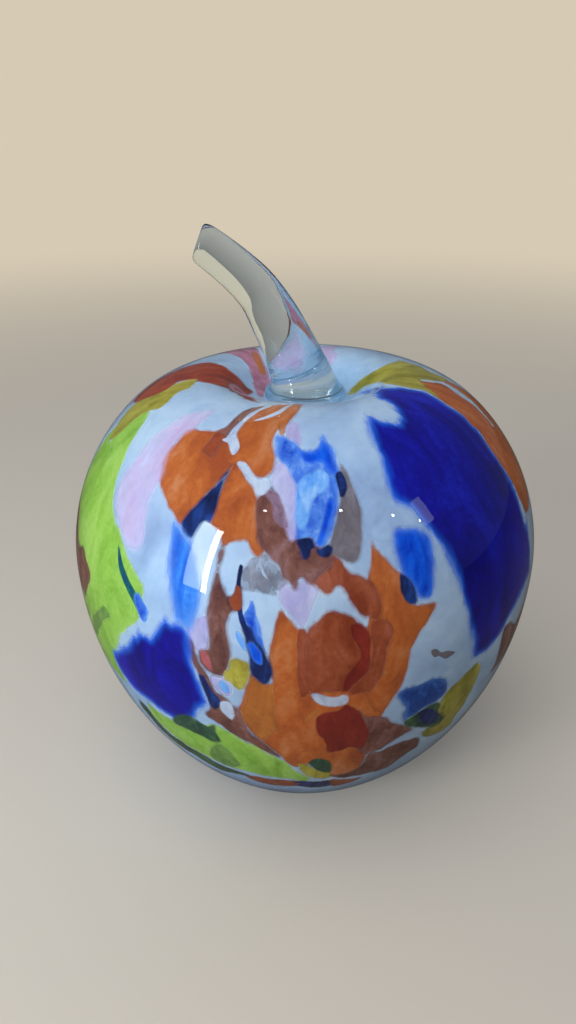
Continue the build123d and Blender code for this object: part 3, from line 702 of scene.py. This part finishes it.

# %% Outlines of the thin wisps between the shards, two of them painted shadows
over_outline_pixels = {
    "wisp_rust_tip": (224,436, 219,445, 215,453, 212,458, 207,454, 202,450, 206,445, 212,438, 218,432),
    "wisp_pale_fork": (
    273,405, 262,408, 253,413, 246,418, 240,424, 235,430, 231,435, 227,438, 223,440, 228,443, 230,448,
    233,455, 238,450, 239,444, 237,438, 237,433, 240,427, 246,421, 253,416, 260,411, 268,408),
    "wisp_pale_thread": (
    294,404, 287,406, 280,410, 272,414, 262,418, 253,421, 262,420, 272,417, 281,413, 288,408),
    "wisp_pale_drop": (
    238,463, 245,463, 250,470, 255,477, 260,480, 266,478, 270,481, 271,486, 267,493, 260,495, 256,493,
    254,485, 248,478, 242,471),
    "wisp_royal_top": (
    297,448, 304,452, 312,452, 318,449, 322,441, 326,443, 331,452, 334,463, 335,474, 328,470, 321,462,
    312,464, 303,461),
    "wisp_royal_low": (326,505, 331,497, 334,506, 331,517, 327,530, 322,545, 317,543, 322,525),
    "wisp_sky_middle": (
    301,482, 312,473, 322,470, 328,478, 325,488, 316,496, 310,508, 306,522, 300,530, 296,520, 297,500),
    "wisp_ink_specks": (336,474, 341,472, 345,479, 347,487, 345,495, 341,498, 339,490, 337,482),
    # A painted shadow: dark navy glass laid along the bottom of the mottled blue shard, where its shade shows.
    "wisp_ink_painted_shadow_bottom": (
    297,540, 303,538, 311,539, 315,545, 320,549, 328,545, 332,549, 328,557, 320,556, 313,549, 309,558,
    304,560, 300,550),
    "wisp_violet_veil": (
    266,494, 272,489, 278,494, 282,503, 286,515, 288,527, 283,527, 277,523, 273,514, 273,504, 268,499),
    "wisp_smoke_bits": (
    261,553, 266,556, 271,562, 277,567, 281,573, 283,579, 287,582, 283,587, 277,590, 272,584, 267,576,
    262,566),
    "wisp_ink_thread": (
    240,565, 243,567, 241,578, 240,590, 241,602, 243,614, 246,624, 250,632, 254,640, 249,640, 244,631,
    240,621, 238,611, 237,600, 237,588, 238,576),
    "wisp_rust_neck": (237,586, 240,590, 241,600, 241,608, 236,611, 231,606, 230,598, 235,593),
    "wisp_royal_core": (248,644, 253,642, 258,648, 262,656, 262,664, 256,662, 251,655),
    "wisp_sky_bit": (236,631, 240,633, 244,641, 246,651, 241,645, 237,638),
    "wisp_rose_spot": (200,652, 204,650, 208,655, 211,662, 212,670, 208,668, 203,661),
    "wisp_ink_strand": (
    199,674, 204,676, 208,684, 213,691, 219,698, 221,705, 215,708, 210,704, 206,694, 202,684),
    "wisp_pale_chip": (221,702, 227,701, 233,706, 233,719, 226,715, 221,709),
    "wisp_sky_spot": (219,682, 223,680, 228,686, 230,692, 225,692, 221,688),
    "wisp_ochre_field": (
    251,677, 258,681, 265,685, 272,684, 273,700, 275,715, 277,728, 270,735, 262,738, 254,731, 247,723,
    243,715, 247,700, 249,688),
    "wisp_rust_stripe": (298,631, 302,629, 306,634, 306,655, 307,675, 308,692, 302,696, 299,680, 298,655),
    "wisp_rust_right": (
    373,622, 381,620, 390,624, 393,630, 390,640, 387,652, 384,665, 378,680, 371,690, 360,693, 350,694,
    352,686, 362,678, 370,668, 372,650, 372,635),
    "wisp_pale_fleck": (
    311,694, 320,694, 328,697, 337,697, 344,695, 348,698, 346,703, 340,705, 331,706, 323,705, 316,701),
    "wisp_ochre_speck": (305,720, 308,716, 313,711, 320,708, 316,713, 311,718, 308,721),
    # A painted shadow: dark navy glass laid at the lower left of the blue chip on the right, where its shadow
    # shows.
    "wisp_ink_painted_shadow_right": (
    400,574, 405,576, 411,581, 415,588, 417,597, 417,603, 411,604, 406,601, 402,593, 400,585),
    "wisp_taupe_fleck": (431,651, 436,649, 441,652, 448,651, 455,652, 450,656, 445,658, 439,656, 434,657),
    "wisp_ink_low_right": (420,712, 428,708, 436,712, 437,720, 430,724, 421,722),
    "wisp_bright_blue_tip": (
    135,596, 139,594, 143,600, 146,606, 148,614, 146,622, 142,619, 139,612, 136,604),
    "wisp_moss_left": (93,618, 97,612, 102,607, 107,609, 111,617, 104,620, 100,627, 98,634, 95,629),
    "wisp_moss_low": (210,751, 219,743, 228,750, 235,757, 241,764, 237,767, 225,764, 215,759),
    "wisp_dark_green_rim": (
    140,700, 147,707, 154,716, 162,725, 170,733, 180,740, 190,747, 202,753, 211,759, 220,764, 232,769,
    250,775, 235,773, 220,769, 208,763, 196,755, 184,748, 172,739, 160,728, 150,716, 142,706),
    "wisp_dark_green_low": (309,762, 317,758, 326,760, 331,765, 330,771, 322,771, 314,768),
    "wisp_brown_low": (
    369,753, 379,751, 388,747, 397,743, 406,740, 418,738, 416,746, 407,752, 397,760, 386,767, 371,772,
    357,775, 342,777, 331,775, 345,773, 357,768, 364,762),
    "wisp_ink_bottom_edge": (292,780, 305,781, 318,781, 331,780, 330,785, 312,787, 298,785),
    "wisp_rust_bottom_left": (
    246,775, 260,777, 275,779, 290,780, 296,782, 296,785, 280,785, 265,783, 252,779),
    "wisp_rust_bottom": (331,779, 342,779, 354,778, 360,777, 350,782, 338,785, 331,785),
    "wisp_ochre_top": (280,424, 286,425, 285,431, 283,436, 280,434, 279,429),
    "wisp_ochre_back": (253,352, 259,356, 263,365, 265,374, 261,375, 257,366, 254,359),
}

# %% [markdown]
# ## Lines of sight
# The casing bends what lies under it. So a line of sight goes from the camera through the pixel, is bent at
# the casing's skin and meets the bubble. A pixel just off the apple is drawn back to its edge.

# %% Lines of sight
camera_place = (-0.0064, -0.2752, 0.254)
camera_tilt = math.radians(62.45)
camera_lens = 27.04
sensor_width = 36
frame_height_pixels = 1024
focal_pixels = camera_lens / sensor_width * frame_height_pixels
middle_pixels = (288, 512)
apple_middle_pixels = (303, 575)
curve_steps = 3000
draw_steps = 60
draw_share = 0.004
start_gap = 1e-5


def skin_tree(piece):
    """A search tree for where a line meets a piece."""
    mesh = piece.data
    return BVHTree.FromPolygons([v.co for v in mesh.vertices], [tuple(p.vertices) for p in mesh.polygons])


def curve_samples(inset):
    """Shares, radii and heights of close points on the wall's curve."""
    shares = np.linspace(0, 1, curve_steps + 1)
    return (shares, *wall_points(shares, inset))


def nearest_on(samples, place):
    """Number of the sample of the wall's curve nearest to a place."""
    return int(np.argmin((samples[1] - math.hypot(place[0], place[1])) ** 2 + (samples[2] - place[2]) ** 2))


skin_samples, wall_samples = curve_samples(0.0), curve_samples(colour_depth)
casing_tree, bubble_tree = skin_tree(casing), skin_tree(bubble)


def bent_at_skin(spot, way):
    """The direction of a line of sight after it has passed the casing's skin."""
    i = min(max(nearest_on(skin_samples, spot), 1), curve_steps - 1)
    run = skin_samples[1][i + 1] - skin_samples[1][i - 1]
    rise = skin_samples[2][i + 1] - skin_samples[2][i - 1]
    turn = math.atan2(spot[1], spot[0])
    normal = Vector((rise * math.cos(turn), rise * math.sin(turn), -run)).normalized()
    facing = -normal.dot(way)
    depth = math.sqrt(max(1 - (1 - facing**2) / glass_index**2, 0))
    return (way / glass_index + normal * (facing / glass_index - depth)).normalized()


def on_the_wall(pixel):
    """Azimuth and share of what a pixel of the photograph shows on the bubble.

    A pixel beside the apple is drawn towards the apple's middle until it shows some.
    """
    x, y = pixel
    right = Vector((1, 0, 0))
    up = Vector((0, math.cos(camera_tilt), math.sin(camera_tilt)))
    ahead = Vector((0, math.sin(camera_tilt), -math.cos(camera_tilt)))
    for _ in range(draw_steps):
        way = ahead * focal_pixels + right * (x - middle_pixels[0]) - up * (y - middle_pixels[1])
        spot = casing_tree.ray_cast(Vector(camera_place), way.normalized())[0]
        if spot:
            inner = bent_at_skin(spot, way.normalized())
            met = bubble_tree.ray_cast(spot + inner * start_gap, inner)[0]
            if met:
                share = wall_samples[0][nearest_on(wall_samples, met)]
                return math.degrees(math.atan2(met[0], -met[1])), float(share)
        x += (apple_middle_pixels[0] - x) * draw_share
        y += (apple_middle_pixels[1] - y) * draw_share
    raise ValueError(f"pixel {pixel} shows nothing of the apple")


print("the middle shows azimuth and share", on_the_wall(apple_middle_pixels))

# %% [markdown]
# ## Cutting a shard
# A curve through the points gives the outline. The flat shape inside it is filled with even triangles, laid
# on the wall and given a thickness. It is done in code, because an operator can't lay a shape on the apple.

# %% Cutting a shard
full_width = 5 * mm
sharpest = 4.0
rim_step = 0.6 * mm
finest_grain, coarsest_grain = 0.4 * mm, 1.2 * mm
row_share, rim_gap_share = 0.87, 0.4
shard_thickness = 0.9 * mm


def smooth_outline(points, scale, grow, steps=7):
    """A closed curve through the points, brought to scale and grown outwards."""
    p = np.array(points, float) * scale
    before, after, next_one = np.roll(p, 1, 0), np.roll(p, -1, 0), np.roll(p, -2, 0)
    t = np.linspace(0, 1, steps, endpoint=False)[:, None, None]
    curve = 0.5 * (2 * p + (after - before) * t + (2 * before - 5 * p + 4 * after - next_one) * t**2
                   + (3 * p - before - 3 * after + next_one) * t**3)
    curve = curve.transpose(1, 0, 2).reshape(-1, 2)
    way = np.roll(curve, -1, 0) - np.roll(curve, 1, 0)
    out = np.stack([way[:, 1], -way[:, 0]], 1) / np.linalg.norm(way, axis=1)[:, None]
    area = (curve[:, 0] * np.roll(curve[:, 1], -1) - np.roll(curve[:, 0], -1) * curve[:, 1]).sum()
    return curve + out * grow * math.copysign(1, area)


def on_wall(azimuth, shares, inset):
    """Places in space on the wall's curve, drawn in by inset."""
    radius, height = wall_points(shares, inset)
    turn = np.radians(azimuth)
    return np.stack([radius * np.sin(turn), -radius * np.cos(turn), height], 1)


def inside_outline(points, outline):
    """Which points lie inside a closed outline."""
    x, y = points[:, :1], points[:, 1:]
    x0, y0 = outline[:, 0], outline[:, 1]
    x1, y1 = np.roll(x0, -1), np.roll(y0, -1)
    crosses = (y0 > y) != (y1 > y)
    with np.errstate(divide="ignore", invalid="ignore"):
        left_of = x < (x1 - x0) * (y - y0) / (y1 - y0) + x0
    return (crosses & left_of).sum(1) % 2 == 1


def flat_width(outline):
    """The width of a strip with this outline's area and length round it."""
    x, y = outline.T
    area = abs((x * np.roll(y, -1) - np.roll(x, -1) * y).sum()) / 2
    return 2 * area / np.linalg.norm(np.roll(outline, -1, 0) - outline, axis=1).sum()


def nearest_gap(points, others):
    """How far each point is from the nearest of the others."""
    return np.sqrt(((points[:, None, :] - others[None, :, :]) ** 2).sum(2)).min(1)


def filled(rim, grain):
    """Points and triangles that fill an outline on the flat evenly."""
    low, high = rim.min(0), rim.max(0)
    across = np.arange(low[0], high[0], grain)
    up = np.arange(low[1], high[1], grain * row_share)
    grid = np.array([(x + (grain / 2 if row % 2 else 0), y) for row, y in enumerate(up) for x in across])
    grid = grid[inside_outline(grid, rim) & (nearest_gap(grid, rim) > grain * rim_gap_share)]
    flat = [Vector(p) for p in np.concatenate([rim, grid]).tolist()]
    spots, _, faces, _, _, _ = delaunay_2d_cdt(flat, [], [list(range(len(rim)))], 1, grain / 1000)
    return np.array([tuple(p) for p in spots]), faces


def shard_piece(name, points, depth, glass, slot, node=None):
    """A thin shard with this outline, lying depth under the casing's surface. Narrow ones are sharper."""
    material, margin = glass
    middle_radius = wall_points([np.mean(points, 0)[1]], flat_inset)[0][0]
    to_flat = np.array([math.radians(1) * middle_radius, wall_length])
    plain = smooth_outline(points, to_flat, 0.0)
    width = flat_width(plain)
    girth = np.linalg.norm(np.roll(plain, -1, 0) - plain, axis=1).sum()
    steps = max(4, math.ceil(girth / len(points) / rim_step))
    sharp = min(max(full_width / width, 1.0), sharpest)
    rim = smooth_outline(points, to_flat, margin / sharp, steps)
    spots, faces = filled(rim, min(max(width / 3, finest_grain), coarsest_grain))
    place, curve = spots / to_flat, rim / to_flat
    top = on_wall(place[:, 0], place[:, 1], depth)
    low_side = on_wall(place[:, 0], place[:, 1], depth + shard_thickness)
    edge = nearest_gap(top, on_wall(curve[:, 0], curve[:, 1], depth)) / mm * sharp
    mesh = bpy.data.meshes.new(name)
    count = len(spots)
    sides = {side: True for face in faces for side in zip(face, face[1:] + face[:1])}
    walls = [(b, a, a + count, b + count) for a, b in sides if (b, a) not in sides]
    under = [tuple(i + count for i in reversed(face)) for face in faces]
    mesh.from_pydata(np.concatenate([top, low_side]).tolist(), [], [tuple(f) for f in faces] + under + walls)
    flow = np.stack([place[:, 0] * to_flat[0], place[:, 1] * wall_length, place[:, 0] * 0], 1) / mm
    edges = mesh.attributes.new("edge", "FLOAT", "POINT").data
    edges.foreach_set("value", np.tile(edge, 2).astype(float))
    flows = mesh.attributes.new("flow", "FLOAT_VECTOR", "POINT").data
    flows.foreach_set("vector", np.tile(flow, (2, 1)).ravel())
    mesh.update()
    piece = bpy.data.objects.new(name, mesh)
    bpy.context.collection.objects.link(piece)
    on_all(piece, bpy.ops.mesh.normals_make_consistent)
    bpy.ops.object.shade_smooth_by_angle(angle=math.radians(40))
    return finish_piece(piece, name, material, slot, *([node] if node else []))


# %% [markdown]
# ## The glass of each shard
# Shards of one colour rod share a material. The tones were chosen from the photograph.

# %% Shard materials
glass_recipes = {
    "lime": ((112, 160, 58), (144, 190, 84), (168, 206, 112),
             dict(soft=1.6, cloud=14, rim=(170, 200, 140))),
    "cobalt": ((10, 10, 108), (16, 16, 150), (20, 34, 190),
               dict(soft=3.2, fray=0.9, cloud=16, rim=(14, 104, 236), rim_share=0.85)),
    "bright_blue": ((20, 66, 196), (72, 124, 224), (130, 176, 240),
                    dict(soft=2.0, fray=0.8, cloud=5, streak=1.6, rim=(90, 150, 240))),
    "orange": ((150, 76, 44), (178, 98, 48), (190, 126, 86), dict(soft=1.5, fray=0.6, rim=(120, 62, 48))),
    "red": ((122, 54, 32), (144, 74, 48), (166, 100, 80),
            dict(cloud=8, rim=(115, 60, 60))),
    "crimson": ((104, 34, 30), (124, 42, 36), (140, 58, 44), dict(soft=1.2, fray=0.5, cloud=8)),
    "ridge": ((118, 44, 30), (150, 60, 36), (160, 88, 70),
              dict(soft=1.6, fray=0.5, cloud=8, rim=(130, 80, 74))),
    "red_brown": ((82, 50, 48), (120, 80, 72), (144, 112, 116),
                  dict(soft=1.9, cloud=7, rim=(95, 70, 85))),
    "navy": ((14, 22, 60), (24, 42, 96), (34, 70, 148), dict(cloud=5)),
    "green": ((28, 54, 48), (48, 82, 66), (84, 118, 78), dict(fray=0.6, cloud=6)),
    "moss": ((84, 116, 62), (104, 140, 78), (124, 158, 96), dict(cloud=5, cover=0.85)),
    "olive": ((124, 120, 44), (158, 154, 60), (180, 176, 92), dict(soft=1.6, fray=0.5, cloud=8)),
    "teal": ((10, 56, 96), (16, 92, 104), (44, 132, 110), dict(soft=1.2, fray=0.4, cloud=5)),
    "yellow": ((140, 132, 50), (172, 166, 66), (192, 188, 104), dict(fray=0.5, cloud=6)),
    "ochre": ((146, 88, 44), (168, 104, 50), (184, 124, 66), dict(cloud=6, fray=0.5, cover=0.85)),
    "pink": ((182, 160, 206), (190, 174, 218), (190, 192, 230),
             dict(cloud=10, cover=0.9, haze=0.25, soft=4.0)),
    "mauve": ((150, 96, 120), (176, 122, 148), (196, 150, 176), dict(cloud=7, soft=2.0)),
    "rose": ((150, 76, 84), (168, 92, 96), (180, 110, 110), dict(cloud=5)),
    "lilac": ((156, 152, 208), (176, 172, 218), (188, 190, 226),
              dict(cloud=8, fray=0.5, cover=0.9, haze=0.2, soft=2.0)),
    "violet": ((110, 88, 116), (125, 105, 132), (150, 130, 156), dict(cloud=5, cover=0.9, haze=0.3)),
    "grey": ((86, 86, 102), (114, 116, 132), (144, 146, 164),
             dict(cloud=5, fray=0.5, cover=0.92, haze=0.4, soft=1.6)),
    "taupe": ((96, 90, 98), (116, 112, 122), (136, 136, 150), dict(cloud=7, fray=0.5, soft=1.6)),
    "royal": ((0, 50, 190), (4, 84, 224), (30, 110, 236), dict(cloud=6, soft=2.6, rim=(90, 150, 240))),
    "azure": ((18, 48, 120), (32, 76, 160), (64, 116, 196), dict(soft=2.2, cloud=6, rim=(90, 140, 220))),
    "sky": ((70, 140, 236), (110, 170, 242), (160, 200, 246), dict(cloud=5)),
    "blue_band": ((24, 84, 206), (54, 128, 230), (110, 172, 240),
                  dict(cloud=12, streak=4, soft=3.4, fray=0.8, rim=(120, 170, 235))),
    "white_wisp": ((150, 168, 205), (176, 196, 224), (194, 212, 234), dict(cloud=4, fray=0.5, cover=0.95)),
}
glasses = {name: shard_glass(name, tones, **more) for name, (*tones, more) in glass_recipes.items()}
like_in_model = {
    "bright_blue": "cobalt", "blue_band": "cobalt", "royal": "cobalt", "azure": "cobalt", "sky": "cobalt",
    "taupe": "grey", "white_wisp": "white_opal", "crimson": "red", "ridge": "brown", "red_brown": "brown",
    "moss": "green", "ochre": "orange", "mauve": "pink", "rose": "pink", "violet": "lilac",
}
other_words = {
    "red_brown_ridge": "ridge", "blue_band": "blue_band", "blue_chip": "royal", "blue_low": "azure",
    "pink_streak": "mauve", "deep_red": "crimson", "rust": "red", "brown": "red_brown",
    "strand_low": "red_brown", "smoke": "grey", "pale": "white_wisp", "_ink_": "navy", "blue": "bright_blue",
}


def glass_of(name):
    """The glass that a shard's name tells of, by a word for it or by its own name."""
    words = {**other_words, **{glass: glass for glass in glasses}}
    return next(glass for word, glass in words.items() if word in name)


# %% Lay the shards
rank_step = 0.03 * mm
beside = (1, 0.005)
torn_by = (1.3, 0.009)
seed = 11
laid = []
chance = random.Random(seed)


def lay(name, points):
    """Lay a shard over those that it may cover, a hair higher. Thin wisps have no node of their own."""
    box = np.array([np.min(points, 0) - beside, np.max(points, 0) + beside])
    below = [rank for other, rank in laid if (box[0] < other[1]).all() and (other[0] < box[1]).all()]
    rank = 1 + max(below, default=0)
    laid.append((box, rank))
    glass = glass_of(name)
    slot = like_in_model.get(glass, glass) + "_glass"
    node = name if name.startswith("shard_") else None
    depth = colour_depth - rank * rank_step
    shard_piece(name.replace("shard_", "glass_"), points, depth, glasses[glass], slot, node)


def torn(points):
    """The outline with small random tips and bites, as a broken shard has them."""
    return [[value + chance.uniform(-by, by) for value, by in zip(point, torn_by)]
            for point in smooth_outline(points, (1, 1), 0.0, 3)]


for name, points in far_outline_shares.items():
    lay(name, torn(points))
for name, pixels in {**under_outline_pixels, **shard_outline_pixels, **over_outline_pixels}.items():
    seen = [on_the_wall(pixel) for pixel in np.reshape(pixels, (-1, 2)).tolist()]
    lay(name, seen + list(round_the_side_shares.get(name, ())))
print("deepest stack", max(rank for _, rank in laid))

# %% [markdown]
# ## Floor, light and camera
# A plain pale floor, a soft window at the left and a pale surrounding, as in the photograph. Far off the
# floor takes on the backdrop's colour. What the glass mirrors is dimmer, as in a room, so that the colours
# stay deep.

# %% Floor
backdrop = srgb(214, 202, 180)
fade_from, fade_to = 0.25, 1.5
clean_slate()
bpy.ops.mesh.primitive_plane_add(size=8)
floor = bpy.context.object
floor.name = "floor"
shop = Workshop(bpy.data.materials.new("floor_paper"))
mirrored = shop.ray("Glossy") * (1 - shop.ray("Transmission"))
paper = shop.mix(mirrored, shop.surface(srgb(214, 204, 190), 0.7), shop.surface(srgb(104, 92, 80), 0.7))
haze = shop.node("ShaderNodeEmission", {}, {"Color": backdrop})
place = shop.node("ShaderNodeTexCoord", {}, {}, "Object")
away = shop.node("ShaderNodeVectorMath", {"operation": "LENGTH"}, {0: place}, "Value")
far = shop.rise(away, fade_from, fade_to) * shop.ray("Camera")
floor.data.materials.append(shop.finish(shop.mix(far, paper, haze)))

# %% World
scene = bpy.context.scene
scene.world = bpy.data.worlds.new("studio")
shop = Workshop(scene.world)
pale_light = srgb(226, 232, 240)
lit, dim, seen = (shop.node("ShaderNodeBackground", {}, {"Color": colour, "Strength": strength})
                  for colour, strength in ((pale_light, 0.50), (pale_light, 0.14), (backdrop, 1.0)))
in_view = shop.node("ShaderNodeMath", {"operation": "MAXIMUM"},
                    {0: shop.ray("Camera"), 1: shop.ray("Transmission")})
shop.finish(shop.mix(in_view, shop.mix(shop.ray("Glossy"), lit, dim), seen), "ShaderNodeOutputWorld")


# %% Lamps
apple_middle = (0, 0, 0.09)
daylight = (0.90, 0.95, 1.0)
downlight_height = 1.25
downlight_width = 0.035


def soft_lamp(name, place, width, height, watts, colour=(1, 1, 1), mirrored=True):
    """A rectangle of light that faces the apple. It can be kept out of mirrored light."""
    data = bpy.data.lights.new(name, "AREA")
    data.shape = "RECTANGLE"
    data.size = width
    data.size_y = height
    data.energy = watts
    data.color = colour
    lamp = bpy.data.objects.new(name, data)
    bpy.context.collection.objects.link(lamp)
    lamp.location = place
    lamp.rotation_euler = (Vector(apple_middle) - Vector(place)).to_track_quat("-Z", "Y").to_euler()
    lamp.visible_glossy = mirrored


soft_lamp("window", (-0.469, -0.410, 0.296), 0.094, 0.355, 0.62, daylight)
soft_lamp("window_strip", (-0.432, -0.460, 0.290), 0.030, 0.355, 0.75)
soft_lamp("window_fill", (-0.563, -0.43, 0.278), 0.19, 0.40, 0.9, daylight, mirrored=False)
soft_lamp("ceiling", (-0.25, -0.35, 1.2), 0.9, 0.9, 4.6, mirrored=False)
soft_lamp("far_window", (0.50, -0.25, 0.46), 0.06, 0.14, 0.04, daylight)
for number, (x, y) in enumerate(((-0.452, -0.924), (0.385, -0.931), (1.133, -0.935), (1.802, -0.941))):
    soft_lamp(f"downlight_{number}", (x, y, downlight_height), downlight_width, downlight_width,
              0.10 + 0.05 * number)

# %% Camera
camera_data = bpy.data.cameras.new("camera")
camera_data.lens = camera_lens
camera = bpy.data.objects.new("camera", camera_data)
bpy.context.collection.objects.link(camera)
camera.location = camera_place
camera.rotation_euler = (camera_tilt, 0, 0)
scene.camera = camera
scene.view_settings.view_transform = "Standard"
